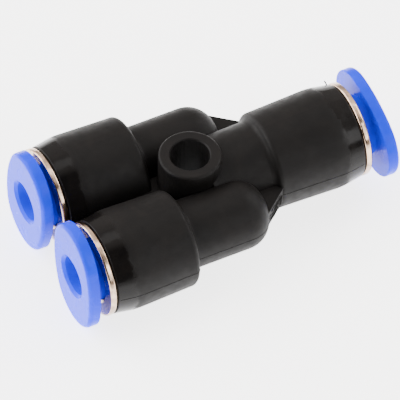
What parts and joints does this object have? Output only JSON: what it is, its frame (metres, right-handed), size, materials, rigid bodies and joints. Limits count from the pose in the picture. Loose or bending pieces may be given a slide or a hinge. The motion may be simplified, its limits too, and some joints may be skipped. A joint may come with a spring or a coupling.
{
  "type": "push-in tubing y union",
  "caption": "Push-in Y union for small plastic tube: moulded body with a mounting hole, plated guide rings and oval collars that release the tube when pressed.",
  "frame": {"origin": "middle of the mounting hole, on the plane of the three ports", "axes": "+X points out of the single port, the twin ports open towards -X at y = -5.5 and +5.5 mm, +Z runs along the mounting hole"},
  "size_m": [0.0373, 0.0216, 0.0122],
  "materials": {
    "black_polymer": "moulded, fine satin",
    "blue_acetal": "moulded, satin",
    "plated_brass": "bright nickel plate",
    "spring_steel": "stamped",
    "pale_polymer": "moulded",
    "seal_rubber": "matte"
  },
  "bodies": {
    "body": {"body": "black_polymer", "guide_ring_front": "plated_brass", "spacer_ring_front": "pale_polymer", "o_ring_front": "seal_rubber", "guide_ring_back": "plated_brass", "spacer_ring_back": "pale_polymer", "o_ring_back": "seal_rubber", "guide_ring_single": "plated_brass", "spacer_ring_single": "pale_polymer", "o_ring_single": "seal_rubber"},
    "claw_front": {"lock_claw_front": "spring_steel"},
    "collar_front": {"release_collar_front": "blue_acetal"},
    "claw_back": {"lock_claw_back": "spring_steel"},
    "collar_back": {"release_collar_back": "blue_acetal"},
    "claw_single": {"lock_claw_single": "spring_steel"},
    "collar_single": {"release_collar_single": "blue_acetal"}
  },
  "joints": [
    {"name": "collar_front_turn", "type": "hinge", "parent": "body", "child": "claw_front", "pos_m": [-0.0132, -0.0055, 0], "axis": [1, 0, 0], "range_deg": [-38.5, 51.5]},
    {"name": "collar_front_press", "type": "slide", "parent": "claw_front", "child": "collar_front", "axis": [1, 0, 0], "range_m": [-0.00054, 0.00066], "stiffness_N_per_m": 3000},
    {"name": "collar_back_turn", "type": "hinge", "parent": "body", "child": "claw_back", "pos_m": [-0.0132, 0.0055, 0], "axis": [1, 0, 0], "range_deg": [-52, 38]},
    {"name": "collar_back_press", "type": "slide", "parent": "claw_back", "child": "collar_back", "axis": [1, 0, 0], "range_m": [-0.00054, 0.00066], "stiffness_N_per_m": 3000},
    {"name": "collar_single_turn", "type": "hinge", "parent": "body", "child": "claw_single", "pos_m": [0.01775, 0, 0], "axis": [1, 0, 0], "continuous": true},
    {"name": "collar_single_press", "type": "slide", "parent": "claw_single", "child": "collar_single", "axis": [-1, 0, 0], "range_m": [0, 0.0012], "stiffness_N_per_m": 3000}
  ]
}
